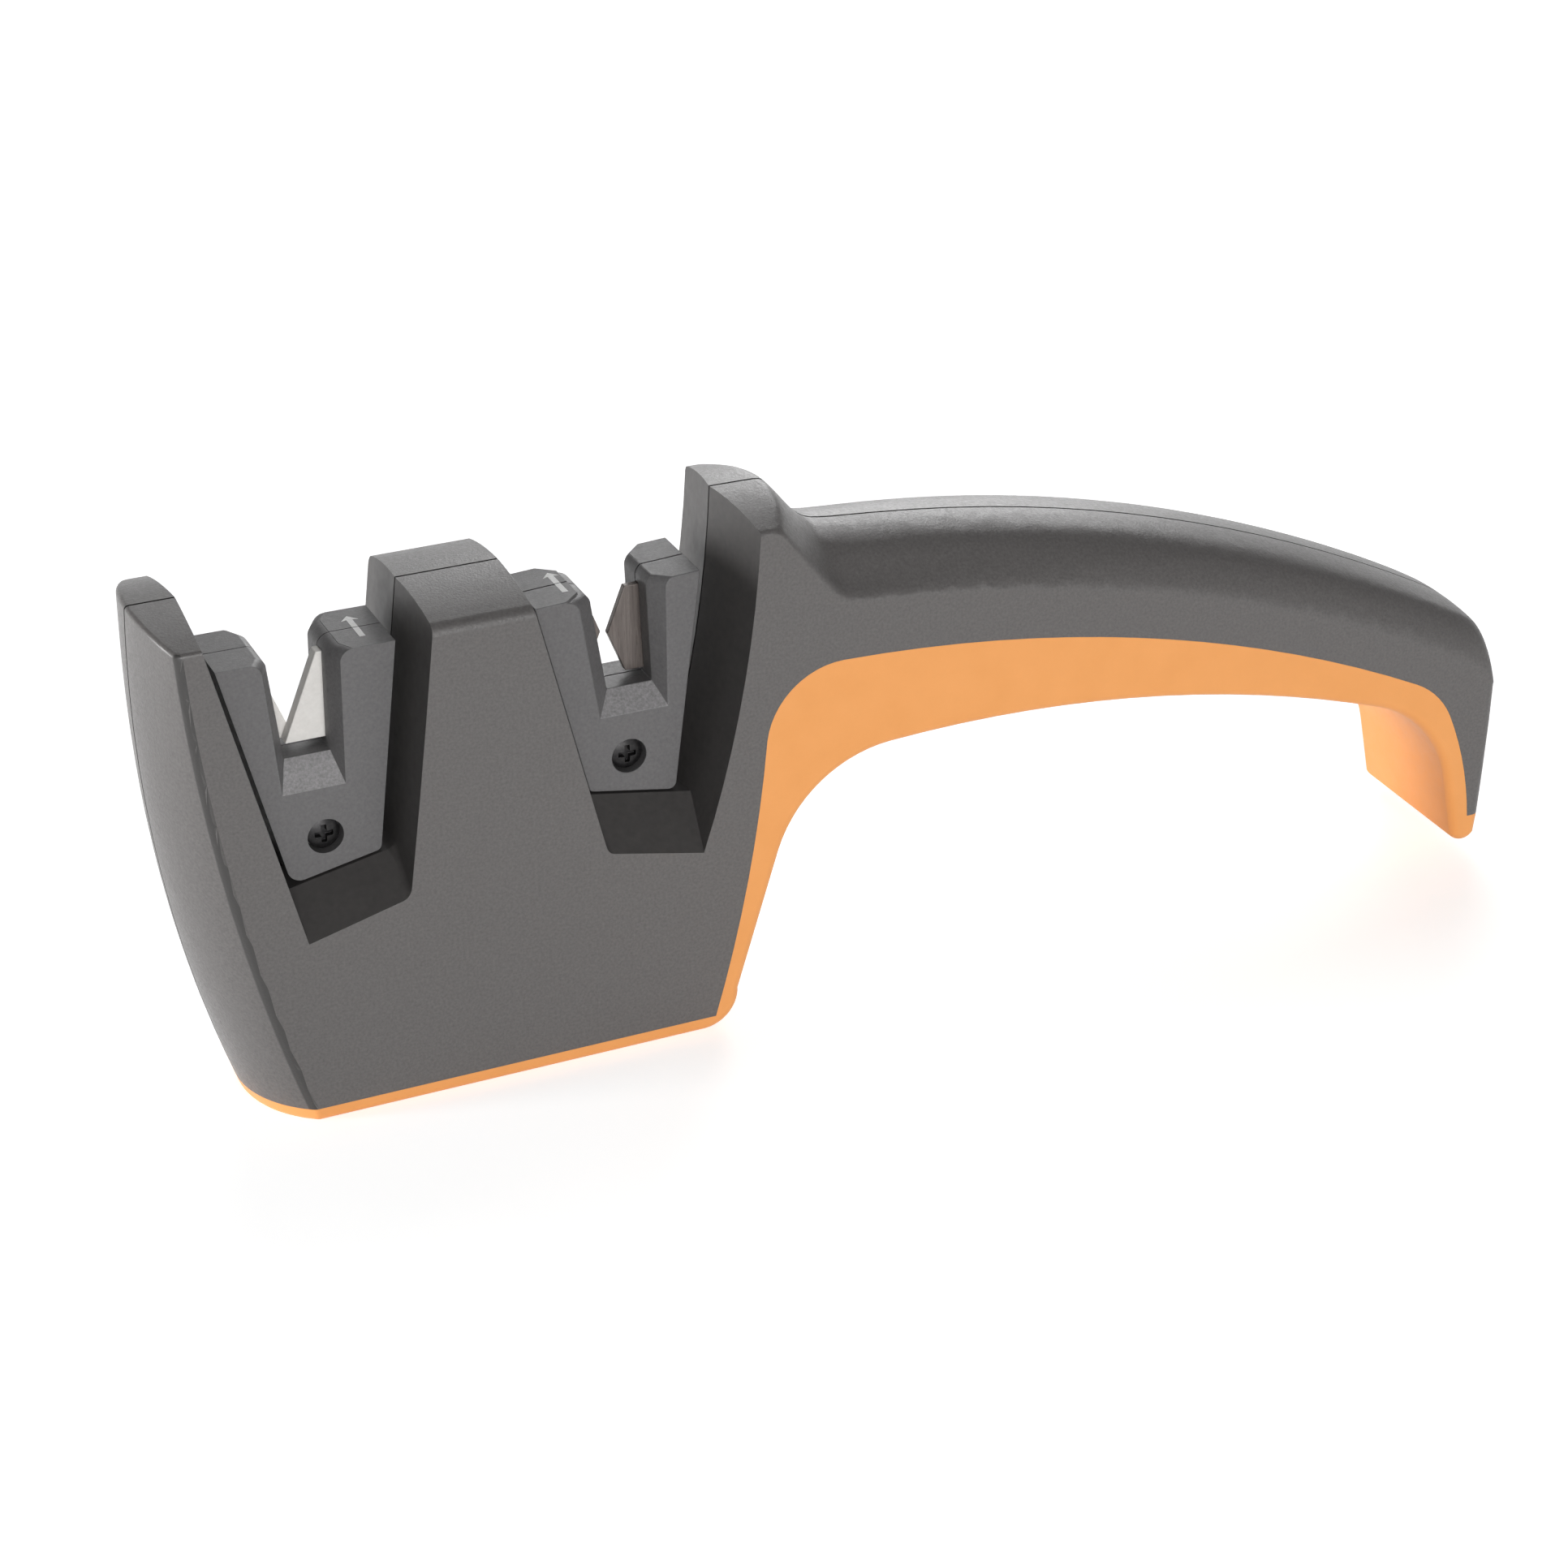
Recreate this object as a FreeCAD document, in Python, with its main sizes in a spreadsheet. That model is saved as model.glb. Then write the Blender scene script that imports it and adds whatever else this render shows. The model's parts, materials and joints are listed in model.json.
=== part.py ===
import FreeCAD, Part
import math
import os
import Sketcher

# Pull through knife sharpener. X runs along the length with the handle at +X, Y across, Z up.
# The origin is the middle of the sole's flat face. Sizes are in millimetres, leans are X per Z.
SIZES = {
    # Housing
    "body_width": 28.0,
    "wall": 2.4,
    "thick_wall": 3.2,
    "front_radius": 330.0,
    "front_axis_height": 105.0,
    "front_reach": 49.7,
    "nose_radius": 215.0,
    "nose_axis_height": 70.0,
    "nose_bulge": 2.5,
    "edge_round": 1.6,
    "front_top": 82.2,
    "centre_top": 79.2,
    "front_top_round": 0.7,
    "centre_top_round": 2.0,
    "crown_drop": 2.4,
    # Ridge and the scoop behind it
    "ridge_top": 84.5,
    "ridge_back": 42.2,
    "ridge_bulge": 3.2,
    "ridge_soft": 0.5,
    "scoop_slope": 1.35,
    "scoop_soft": 1.3,
    # Upper bar of the handle
    "crown_x": 43.8,
    "crown_top": 76.4,
    "crown_radius": 231.0,
    "bar_edge": 8.0,
    "bar_rise_front": 7.8,
    "bar_rise_rear": 7.0,
    "bar_radius_front": 18.0,
    "bar_radius_rear": 60.0,
    "bar_half_front": 10.8,
    "bar_half_rear": 15.0,
    "bar_round_front": 0.8,
    "bar_round_rear": 5.5,
    "skin_wall": 3.0,
    # End of the handle
    "end_x": 171.0,
    "end_radius": 600.0,
    "end_corner_height": 39.0,
    "end_slope": 6.0,
    "end_soft": 2.2,
    # Border between the housing and the grip, from the sole to the tip of the hook
    "sole_thickness": 2.5,
    "heel_x": 31.1,
    "heel_radius": 230.0,
    "neck_x": 39.9,
    "neck_z": 48.2,
    "throat_x": 52.5,
    "throat_z": 59.2,
    "throat_radius": 12.5,
    "arch_radius": 246.0,
    "bend_x": 156.0,
    "bend_z": 34.0,
    "bend_radius": 15.5,
    "hook_x": 163.0,
    "hook_z": 27.0,
    "hook_radius": 60.0,
    "tip_x": 168.4,
    "tip_z": 7.0,
    # Outer contour of the grip
    "grip_sole_end": 29.6,
    "grip_heel_x": 35.3,
    "grip_heel_z": 6.2,
    "grip_heel_radius": 6.0,
    "grip_throat_radius": 20.8,
    "grip_under_x": 60.8,
    "grip_under_z": 43.3,
    "grip_arch_radius": 222.0,
    "grip_bend_x": 149.5,
    "grip_bend_z": 30.7,
    "grip_bend_radius": 22.5,
    "grip_tip_x": 166.1,
    "grip_tip_z": 3.4,
    "grip_tip_radius": 2.6,
    "grip_tip_width": 4.5,
    "grip_wall": 3.0,
    # Pockets for the cassettes: floor corners on the side face, leans and flares of the walls, seats
    "pocket_seat_half": 7.0,
    "front_corner_round": 1.8,
    "front_left_x": -32.7,
    "front_left_z": 30.6,
    "front_right_x": -17.0,
    "front_right_z": 34.7,
    "front_left_lean": 0.249,
    "front_right_lean": 0.117,
    "front_right_foot_lean": 0.117,
    "front_right_radius": 1500.0,
    "front_left_flare": 1.0,
    "front_right_flare": 0.9,
    "front_seat_left_z": 36.4,
    "front_seat_right_z": 39.6,
    "rear_corner_round": 1.2,
    "rear_left_x": 14.0,
    "rear_left_z": 34.9,
    "rear_right_x": 29.4,
    "rear_right_z": 31.6,
    "rear_left_lean": 0.2464,
    "rear_right_lean": 0.125,
    "rear_right_foot_lean": 0.28,
    "rear_right_radius": 190.0,
    "rear_left_flare": 0.3,
    "rear_right_flare": 2.2,
    "rear_seat_left_z": 41.8,
    "rear_seat_right_z": 38.8,
    # Cassettes
    "cassette_half": 6.6,
    "cassette_split": 0.1,
    "cassette_seat_gap": 0.2,
    "chamfer_depth": 2.4,
    "post_round": 2.0,
    "ceramic_left_round": 2.2,
    "ceramic_right_round": 1.0,
    "ceramic_left_gap": 0.6,
    "ceramic_right_gap": 1.4,
    "ceramic_left_top": 72.7,
    "ceramic_right_top": 72.5,
    "ceramic_slot_left_top": -33.4,
    "ceramic_slot_right_top": -24.6,
    "ceramic_slot_left": -31.75,
    "ceramic_slot_right": -24.8,
    "ceramic_sill": 56.0,
    "ceramic_mouth_left_top": -34.7,
    "ceramic_mouth_right_top": -23.2,
    "ceramic_mouth_left": -33.0,
    "ceramic_mouth_right": -23.5,
    "ceramic_mouth_sill": 51.4,
    "ceramic_screw_x": -27.0,
    "ceramic_screw_z": 43.5,
    "carbide_left_round": 0.8,
    "carbide_right_round": 1.2,
    "carbide_left_gap": 1.6,
    "carbide_right_gap": 1.2,
    "carbide_left_top": 73.2,
    "carbide_right_top": 74.6,
    "carbide_slot_left_top": 16.0,
    "carbide_slot_right_top": 24.7,
    "carbide_slot_left": 18.2,
    "carbide_slot_right": 25.4,
    "carbide_sill": 57.0,
    "carbide_mouth_left_top": 13.4,
    "carbide_mouth_right_top": 27.0,
    "carbide_mouth_left": 16.1,
    "carbide_mouth_right": 27.0,
    "carbide_mouth_sill": 53.5,
    "carbide_screw_x": 20.6,
    "carbide_screw_z": 46.4,
    "foot_length": 8.0,
    "foot_width": 4.8,
    "foot_depth": 3.6,
    "foot_offset": 0.5,
    "foot_clearance": 0.3,
    # Stones and blades
    "ceramic_knife_x": -29.2,
    "stone_thickness": 2.0,
    "stone_fit": 0.1,
    "stone_top": 70.8,
    "stone_lift": 1.2,
    "stone_tip_reach": 1.6,
    "stone_top_reach": 3.8,
    "stone_seat": 6.8,
    "stone_far_back": 1.3,
    "carbide_knife_x": 19.95,
    "blade_thickness": 1.0,
    "blade_top": 71.6,
    "blade_lift": 0.8,
    "blade_tip_z": 64.4,
    "blade_tip_reach": 0.2,
    "blade_upper_lean": 0.39,
    "blade_lower_lean": 0.41,
    "blade_seat": 7.4,
    "blade_far_back": 1.1,
    # Screws
    "screw_radius": 1.25,
    "screw_bite": 0.05,
    "screw_clearance": 0.3,
    "screw_head_height": 1.9,
    "screw_dome": 0.5,
    "screw_point": 1.2,
    "screw_sink": 0.7,
    "cross_width": 0.8,
    "cross_length": 2.8,
    "cross_depth": 1.0,
    "cassette_screw_head": 2.5,
    "cassette_screw_length": 7.4,
    "shell_screw_head": 2.15,
    "shell_screw_length": 19.0,
    "head_clearance": 0.25,
    "boss_radius": 3.5,
    "lug_thickness": 2.4,
    "lug_half_width": 5.6,
    "lug_shoulder": 2.8,
    "lug_top_radius": 6.2,
    "lug_clearance": 0.3,
    "base_lug_root": 11.0,
    "handle_lug_root": 8.0,
}

# Axes of the housing screws, as X and Z on the mid-plane
SCREW_PLACES = {
    "base_front": (-24.0, 13.0),
    "base_rear": (24.0, 13.0),
    "centre_block": (-3.5, 60.0),
    "handle_front": (57.0, 66.0),
    "handle_rear": (142.0, 44.0),
}
LUG_SCREWS = ("base_front", "base_rear", "handle_front", "handle_rear")
for place, (screw_x, screw_z) in SCREW_PLACES.items():
    SIZES[place + "_x"] = screw_x
    SIZES[place + "_z"] = screw_z

# Room left around the model where a cut has to run past it
PAST = 12.0
# Heights of the sections of the front face, as shares of the front wall's height
FRONT_LEVELS = (-0.1, 0.15, 0.4, 0.65, 0.9, 1.15)
# How near an edge lies to the front face's side line when it belongs to it
FRONT_NEAR = 0.2
# Spacing of the skin's grid along the handle, where it bends and where it is even
SKIN_FINE = 0.8
SKIN_COARSE = 2.5
# Strips of the grid across the near half, and those past the mid-plane
SKIN_STRIPS = 24
SKIN_OVER = 4
# Share of a round's width over which the skin bends down; from there it falls on straight
SKIN_STEEP = 0.93
# Room that the skin's grid leaves past the side face and past the end
SKIN_BESIDE = 1.0
SKIN_BEHIND = 2.0
# Two places nearer than this are the same
CLOSE = 1e-3


class Size:
    """A number together with the sheet expression that gives it."""

    def __init__(self, number, text):
        self.number = number
        self.text = text

    @staticmethod
    def of(value):
        if isinstance(value, Size):
            return value
        return Size(float(value), "(%r)" % float(value))

    def join(self, other, sign, number):
        return Size(number, "(%s %s %s)" % (self.text, sign, Size.of(other).text))

    def __add__(self, other):
        return self.join(other, "+", self.number + Size.of(other).number)

    def __sub__(self, other):
        return self.join(other, "-", self.number - Size.of(other).number)

    def __mul__(self, other):
        return self.join(other, "*", self.number * Size.of(other).number)

    def __truediv__(self, other):
        return self.join(other, "/", self.number / Size.of(other).number)

    def __radd__(self, other):
        return Size.of(other) + self

    def __rsub__(self, other):
        return Size.of(other) - self

    def __rmul__(self, other):
        return Size.of(other) * self

    def __neg__(self):
        return Size(-self.number, "(-1 * %s)" % self.text)


def root(value):
    return Size(math.sqrt(value.number), "sqrt(%s)" % value.text)


doc = FreeCAD.newDocument("KnifeSharpener")
sheet = doc.addObject("Spreadsheet::Sheet", "Sizes")
for line, (alias, value) in enumerate(SIZES.items(), start=1):
    sheet.set("A%d" % line, alias)
    sheet.set("B%d" % line, str(value))
    sheet.setAlias("B%d" % line, alias)
doc.recompute()


def size(alias):
    return Size(float(sheet.get(alias)), "Sizes." + alias)


def number(alias):
    return float(sheet.get(alias))


HALF = size("body_width") / 2
ABOVE = (size("front_top") + size("centre_top") + size("ridge_top")) / 3 + 2 * PAST


# Sketches and features

def new_body(name):
    body = doc.addObject("PartDesign::Body", name)
    body.Label = name
    return body


def origin_plane(body, role):
    return [plane for plane in body.Origin.OriginFeatures if plane.Role == role][0]


def new_sketch(body, name, role, shift=(0, 0, 0)):
    """An empty sketch on an origin plane, moved by shift in the plane's own axes."""
    sketch = body.newObject("Sketcher::SketchObject", name)
    sketch.AttachmentSupport = [(origin_plane(body, role), "")]
    sketch.MapMode = "FlatFace"
    for axis, distance in zip("xyz", shift):
        sketch.setExpression("AttachmentOffset.Base." + axis, Size.of(distance).text)
    return sketch


def bind(sketch, constraint, value):
    index = sketch.addConstraint(constraint)
    sketch.setExpression("Constraints[%d]" % index, Size.of(value).text)


def draw_outline(sketch, corners, arcs=None):
    """A closed outline through corners. arcs gives an edge's radius by its number: positive bulges to
    the right of travel, negative to the left."""
    arcs = arcs or {}
    points = [FreeCAD.Vector(Size.of(x).number, Size.of(y).number, 0) for x, y in corners]
    first_edge = sketch.GeometryCount
    starts = []
    ends = []
    for index, point in enumerate(points):
        following = points[(index + 1) % len(points)]
        starts.append(1)
        ends.append(2)
        if index not in arcs:
            sketch.addGeometry(Part.LineSegment(point, following), False)
            continue
        radius = Size.of(arcs[index]).number
        chord = following - point
        left = FreeCAD.Vector(-chord.y, chord.x, 0).normalize()
        reach = math.sqrt(max(0.0, radius ** 2 - (chord.Length / 2) ** 2))
        centre = (point + following) * 0.5 + left * math.copysign(reach, radius)
        angles = [math.atan2(p.y - centre.y, p.x - centre.x) for p in (point, following)]
        if radius < 0:
            angles.reverse()
            starts[-1] = 2
            ends[-1] = 1
        circle = Part.Circle(centre, FreeCAD.Vector(0, 0, 1), abs(radius))
        sketch.addGeometry(Part.ArcOfCircle(circle, angles[0], angles[1]), False)
    for index, (x, y) in enumerate(corners):
        edge = first_edge + index
        following = (index + 1) % len(points)
        sketch.addConstraint(Sketcher.Constraint(
            "Coincident", edge, ends[index], first_edge + following, starts[following]))
        place = (-1, 1, edge, starts[index])
        bind(sketch, Sketcher.Constraint("DistanceX", *place, points[index].x), x)
        bind(sketch, Sketcher.Constraint("DistanceY", *place, points[index].y), y)
        if index in arcs:
            radius = Size.of(arcs[index])
            value = radius if radius.number > 0 else -radius
            bind(sketch, Sketcher.Constraint("Radius", edge, value.number), value)


def draw_circle(sketch, x, y, radius):
    centre = FreeCAD.Vector(x.number, y.number, 0)
    edge = sketch.addGeometry(Part.Circle(centre, FreeCAD.Vector(0, 0, 1), radius.number), False)
    bind(sketch, Sketcher.Constraint("DistanceX", -1, 1, edge, 3, x.number), x)
    bind(sketch, Sketcher.Constraint("DistanceY", -1, 1, edge, 3, y.number), y)
    bind(sketch, Sketcher.Constraint("Radius", edge, radius.number), radius)


def add_pad(body, name, sketch, length, midplane=False, reverse=False):
    pad = body.newObject("PartDesign::Pad", name)
    pad.Profile = sketch
    pad.setExpression("Length", Size.of(length).text)
    pad.Midplane = midplane
    pad.Reversed = reverse
    doc.recompute()
    return pad


def cut_feature(body, kind, name, sketch):
    """A subtractive feature that has to take something away."""
    before = body.Shape.Volume
    feature = body.newObject("PartDesign::" + kind, name)
    feature.Profile = sketch
    return feature, before


def check_cut(body, feature, before):
    doc.recompute()
    if not body.Shape.Volume < before - CLOSE:
        raise RuntimeError(feature.Name + " cuts nothing")
    return feature


def cut_pocket(body, name, sketch, depth, reverse=True):
    feature, before = cut_feature(body, "Pocket", name, sketch)
    feature.setExpression("Length", Size.of(depth).text)
    feature.Reversed = reverse
    return check_cut(body, feature, before)


def cut_loft(body, name, sketches, ruled=True):
    feature, before = cut_feature(body, "SubtractiveLoft", name, sketches[0])
    feature.Sections = sketches[1:]
    feature.Ruled = ruled
    return check_cut(body, feature, before)


def round_edges(body, name, radius, wanted):
    """Round the edges of the body for which wanted(edge) holds."""
    base = body.Tip
    names = ["Edge%d" % (i + 1) for i, edge in enumerate(base.Shape.Edges) if wanted(edge)]
    fillet = body.newObject("PartDesign::Fillet", name)
    fillet.Base = (base, names)
    fillet.setExpression("Radius", Size.of(radius).text)
    doc.recompute()
    return fillet


def samples(edge):
    return edge.discretize(5)


def on_side(edge):
    half = HALF.number
    return all(abs(abs(point.y) - half) < CLOSE for point in samples(edge))


def place_object(item, x, y, z, rotation=None):
    item.Placement.Rotation = rotation or FreeCAD.Rotation()
    for axis, value in zip("xyz", (x, y, z)):
        item.setExpression("Placement.Base." + axis, Size.of(value).text)


def cross_cylinder(name, x, y, z, radius, length):
    """A cylinder along +Y from the point x, y, z."""
    item = doc.addObject("Part::Cylinder", name)
    item.setExpression("Radius", Size.of(radius).text)
    item.setExpression("Height", Size.of(length).text)
    place_object(item, x, y, z, FreeCAD.Rotation(FreeCAD.Vector(1, 0, 0), -90))
    return item


def block(name, low, sides):
    item = doc.addObject("Part::Box", name)
    for axis, value in zip(("Length", "Width", "Height"), sides):
        item.setExpression(axis, Size.of(value).text)
    place_object(item, *low)
    return item


def cut_away(name, base, *tools):
    """base with every tool taken away."""
    tool = tools[0]
    if len(tools) > 1:
        tool = doc.addObject("Part::MultiFuse", name + "_tools")
        tool.Shapes = list(tools)
    result = doc.addObject("Part::Cut", name)
    result.Base = base
    result.Tool = tool
    doc.recompute()
    return result


def join(name, *items):
    result = doc.addObject("Part::MultiFuse", name)
    result.Shapes = list(items)
    doc.recompute()
    return result


# Skin of the ridge and the handle's upper bar

def lower_of(first, second, soft):
    return (first + second) / 2 - math.hypot((first - second) / 2, soft)


def higher_of(first, second, soft):
    return (first + second) / 2 + math.hypot((first - second) / 2, soft)


def along_bar(name, x):
    """A size of the bar that changes evenly from the ridge to the end."""
    share = max(0.0, (x - number("ridge_back")) / (number("end_x") - number("ridge_back")))
    return number(name + "_front") + (number(name + "_rear") - number(name + "_front")) * share


def side_fall(x, y):
    """How far the skin falls near the side face, where it rounds over into it."""
    radius = along_bar("bar_round", x)
    over = max(0.0, abs(y) - HALF.number + radius) / radius
    bent = min(over, SKIN_STEEP)
    level = math.sqrt(1 - bent ** 2)
    return radius * (1 - level + (over - bent) * bent / level)


def skin_height(x, y):
    """Height of the outer skin behind the rear pocket, at any place seen from above."""
    aside = abs(y) / HALF.number
    crown = number("crown_top") - (x - number("crown_x")) ** 2 / (2 * number("crown_radius"))
    share = 1 / (1 + (abs(y) / along_bar("bar_half", x)) ** number("bar_edge"))
    rise = along_bar("bar_rise", x)
    bar = crown - rise + (rise - y ** 2 / (2 * along_bar("bar_radius", x))) * share
    end_line = number("end_corner_height") - number("end_slope") * (x - number("end_x"))
    bar = lower_of(bar, end_line, number("end_soft"))
    ridge = number("ridge_top") - number("crown_drop") * aside ** 2
    behind = x - number("ridge_back") - number("ridge_bulge") * (1 - aside ** 2)
    ridge = lower_of(ridge, ridge - number("scoop_slope") * behind, number("ridge_soft"))
    return higher_of(bar, ridge, number("scoop_soft")) - side_fall(x, y)


def skin_stations():
    """Places along X: close together at the ridge and at the end, wider along the bar."""
    start = number("rear_right_x")
    ridge_end = number("ridge_back") + PAST
    end = number("end_x") + SKIN_BEHIND
    stations = []
    x = start
    while x < end:
        stations.append(x)
        close = number("neck_x") < x < ridge_end or x > end - PAST
        x += SKIN_FINE if close else SKIN_COARSE
    return stations + [end]


def skin_tool(name, drop):
    """Everything above the skin of the near half, with the skin lowered by drop."""
    edge = HALF.number + SKIN_BESIDE
    across = [edge * (step / SKIN_STRIPS - 1) for step in range(SKIN_STRIPS + SKIN_OVER)]
    grid = [[FreeCAD.Vector(x, y, skin_height(x, y) - drop) for y in across] for x in skin_stations()]
    surface = Part.BSplineSurface()
    surface.interpolate(grid)
    item = doc.addObject("Part::Feature", name)
    item.Shape = surface.toShape().extrude(FreeCAD.Vector(0, 0, ABOVE.number))
    item.Placement = FreeCAD.Placement()
    return item


# Outlines in side view

def border_corners():
    """The border from the heel to the tip of the hook, and the radii along it."""
    corners = [
        (size("heel_x"), size("sole_thickness")),
        (size("neck_x"), size("neck_z")),
        (size("throat_x"), size("throat_z")),
        (size("bend_x"), size("bend_z")),
        (size("hook_x"), size("hook_z")),
        (size("tip_x"), size("tip_z")),
    ]
    radii = [size("heel_radius"), -size("throat_radius"), -size("arch_radius"),
             -size("bend_radius"), -size("hook_radius")]
    return corners, radii


def contour_x(name, reach, z):
    """X at height z of an arc in side view whose foremost point lies at reach in front of the origin."""
    radius = size(name + "_radius")
    rise = z - size(name + "_axis_height")
    return radius - reach - root(radius * radius - rise * rise)


def front_x(z):
    """X of the front face at height z on the side faces."""
    return contour_x("front", size("front_reach"), z)


def shape_front(body, name):
    """Cut the leaning front face: rounded across its width, and rounder towards the sole."""
    past = size("front_reach") + 2 * PAST
    beside = HALF + PAST
    sections = []
    for level, share in enumerate(FRONT_LEVELS):
        z = size("front_top") * share
        edge_x = front_x(z)
        bulge = edge_x - contour_x("nose", size("front_reach") + size("nose_bulge"), z)
        plan_radius = (HALF * HALF + bulge * bulge) / (2 * bulge)
        section = new_sketch(body, "%s_level_%d" % (name, level), "XY_Plane", (0, 0, z))
        draw_outline(section, [
            (edge_x, -beside),
            (edge_x, -HALF),
            (edge_x, HALF),
            (edge_x, beside),
            (-past, beside),
            (-past, -beside),
        ], {1: -plan_radius})
        sections.append(section)
    doc.recompute()
    return cut_loft(body, name, sections, ruled=False)


def front_edge(edge):
    """An edge of the front face on a side face."""
    away = [abs(point.x - front_x(Size.of(point.z)).number) for point in samples(edge)]
    return on_side(edge) and max(away) < FRONT_NEAR


def end_edge(edge):
    """The edge of the handle's end face on a side face."""
    return on_side(edge) and all(p.x > number("end_x") - CLOSE for p in samples(edge))


# Housing

def seat_ends(pocket):
    """X of the left end and of the right end of a pocket's seat on the mid-plane."""
    left_rise = size(pocket + "_seat_left_z") - size(pocket + "_left_z")
    right_rise = size(pocket + "_seat_right_z") - size(pocket + "_right_z")
    left_x = size(pocket + "_left_x") - size(pocket + "_left_lean") * left_rise
    right_x = size(pocket + "_right_x") + size(pocket + "_right_foot_lean") * right_rise
    return left_x + size(pocket + "_left_flare"), right_x - size(pocket + "_right_flare")


def seat_slope(pocket):
    """Rise of a pocket's seat along X."""
    left_x, right_x = seat_ends(pocket)
    return (size(pocket + "_seat_right_z") - size(pocket + "_seat_left_z")) / (right_x - left_x)


def pocket_section(body, name, pocket, reach, depth, left_z, right_z):
    """One section of a cassette pocket at a distance depth from the mid-plane. reach is the share of the
    flare that is left there."""
    left_x = size(pocket + "_left_x") - size(pocket + "_left_lean") * (left_z - size(pocket + "_left_z"))
    right_rise = right_z - size(pocket + "_right_z")
    right_x = size(pocket + "_right_x") + size(pocket + "_right_foot_lean") * right_rise
    left_top = left_x - size(pocket + "_left_lean") * (ABOVE - left_z)
    right_top = size(pocket + "_right_x") + size(pocket + "_right_lean") * (ABOVE - size(pocket + "_right_z"))
    left_in = size(pocket + "_left_flare") * reach
    right_in = size(pocket + "_right_flare") * reach
    sketch = new_sketch(body, name, "XZ_Plane", (0, 0, depth))
    draw_outline(sketch, [
        (left_x + left_in, left_z),
        (right_x - right_in, right_z),
        (right_top - right_in, ABOVE),
        (left_top + left_in, ABOVE),
    ], {1: size(pocket + "_right_radius")})
    return sketch


# The floor corner that is rounded in each pocket: 0 is the left one, 1 the right one
ROUNDED_CORNER = {"front": 1, "rear": 0}


def cut_cassette_pocket(body, pocket):
    """A pocket open at the top and to the side: a flat seat near the mid-plane, then a floor that falls
    to the side face."""
    seat = size("pocket_seat_half")
    left_z = size(pocket + "_seat_left_z")
    right_z = size(pocket + "_seat_right_z")
    slope = seat_slope(pocket)
    spread = slope * (seat / HALF)
    outer_left_z = left_z - spread * size(pocket + "_left_flare") / (1 + slope * size(pocket + "_left_lean"))
    foot_lean = size(pocket + "_right_foot_lean")
    outer_right_z = right_z + spread * size(pocket + "_right_flare") / (1 - slope * foot_lean)
    sections = [
        pocket_section(body, pocket + "_at_middle", pocket, 1, 0, left_z, right_z),
        pocket_section(body, pocket + "_at_seat", pocket, 1 - seat / HALF, seat, outer_left_z, outer_right_z),
        pocket_section(body, pocket + "_at_side", pocket, 0, HALF, size(pocket + "_left_z"),
                       size(pocket + "_right_z")),
    ]
    doc.recompute()
    cut_loft(body, pocket + "_pocket", sections)
    corner = ROUNDED_CORNER[pocket]
    row = [section.Geometry[corner].StartPoint for section in sections]
    depths = (0.0, -seat.number, -HALF.number)
    ends = [FreeCAD.Vector(point.x, depth, point.y) for point, depth in zip(row, depths)]

    def inner_corner(edge):
        return all(any(vertex.Point.distanceToPoint(end) < CLOSE for end in ends) for vertex in edge.Vertexes)

    round_edges(body, pocket + "_corner_rounding", size(pocket + "_corner_round"), inner_corner)


def cut_crown(body, name, low_x, length, top):
    """Crown the top of a block that starts at low_x: highest on the mid-plane, lower at the sides."""
    drop = size("crown_drop")
    radius = (HALF * HALF + drop * drop) / (2 * drop)
    sketch = new_sketch(body, name + "_sketch", "YZ_Plane", (0, 0, low_x))
    draw_outline(sketch, [
        (-HALF, top - drop),
        (HALF, top - drop),
        (HALF, ABOVE),
        (-HALF, ABOVE),
    ], {0: -radius})
    cut_pocket(body, name, sketch, length)


def make_half_outer():
    """Outer form of the near half of the housing, before the skin of the handle is cut."""
    body = new_body("half_outer")
    corners, radii = border_corners()
    outline = [(-size("front_reach") - PAST, size("sole_thickness"))] + corners
    arcs = {index + 1: radius for index, radius in enumerate(radii)}
    outline.append((size("end_x"), size("tip_z")))
    arcs[len(outline) - 1] = size("end_radius")
    outline += [
        (size("end_x"), size("end_corner_height") * 2),
        (size("ridge_back"), ABOVE),
        (-size("front_reach") - PAST, ABOVE),
    ]
    sketch = new_sketch(body, "side_outline", "XZ_Plane")
    draw_outline(sketch, outline, arcs)
    add_pad(body, "side_block", sketch, HALF)
    shape_front(body, "front_face")
    round_edges(body, "front_edge_rounding", size("edge_round"), front_edge)
    round_edges(body, "end_edge_rounding", size("edge_round"), end_edge)
    front_end = -size("front_reach") - PAST
    cut_crown(body, "front_crown", front_end, size("front_right_x") - front_end - PAST / 2, size("front_top"))
    centre_start = size("front_right_x") - PAST / 2
    cut_crown(body, "centre_crown", centre_start, size("rear_right_x") - centre_start, size("centre_top"))
    for block_name in ("front", "centre"):
        level = number(block_name + "_top") - number("crown_drop")

        def top_edge(edge):
            return on_side(edge) and all(abs(p.z - level) < CLOSE for p in samples(edge))

        round_edges(body, block_name + "_top_rounding", size(block_name + "_top_round"), top_edge)
    cut_cassette_pocket(body, "front")
    cut_cassette_pocket(body, "rear")
    return body


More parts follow.
